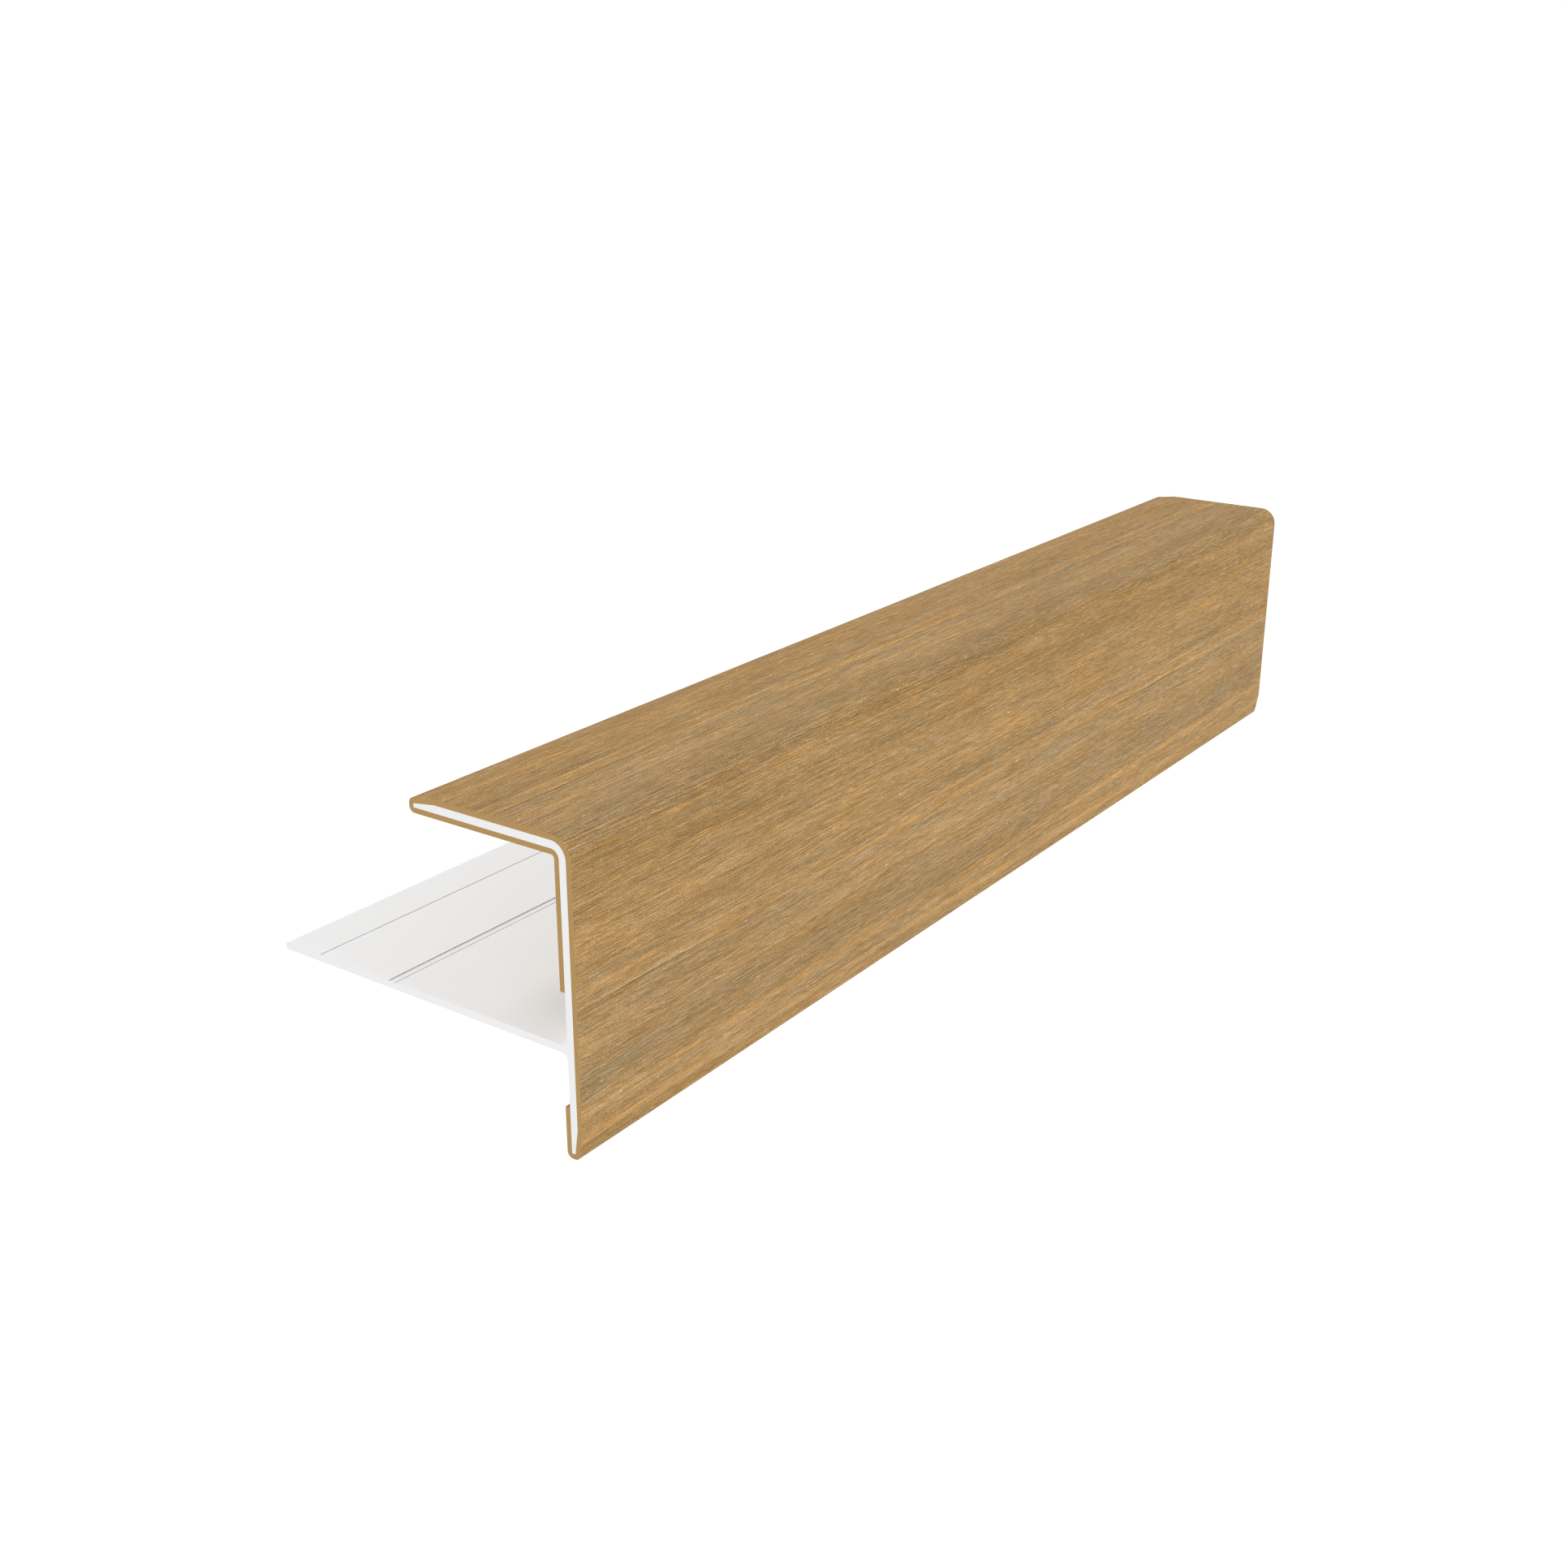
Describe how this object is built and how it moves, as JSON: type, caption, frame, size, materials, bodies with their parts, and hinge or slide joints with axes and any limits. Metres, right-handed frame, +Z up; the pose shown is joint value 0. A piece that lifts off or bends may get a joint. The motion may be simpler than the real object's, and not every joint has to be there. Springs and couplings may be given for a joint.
{
  "type": "edge trim profile",
  "caption": "Length of white PVC edge trim for a board: wood-effect wrapped top leg and face with a lip, and a thin grooved fixing flange behind.",
  "frame": {"origin": "centre of the bounding box in plan, on the floor that the piece lies on", "axes": "+Y along the extrusion; +X towards the side that the visible face looks to; +Z up. The piece lies on the flange's tip and the back of the lip, so its section is tilted 16.1 degrees about Y from square"},
  "size_m": [0.0634, 0.25, 0.0484],
  "materials": {
    "white_pvc": "smooth extruded rigid PVC with a slight sheen",
    "woodgrain_film": "satin oak-effect film with fine grain along its length, plain brown on the cut ends"
  },
  "bodies": {
    "root": {"pvc_core": "white_pvc", "woodgrain_wrap": "woodgrain_film"}
  },
  "joints": []
}
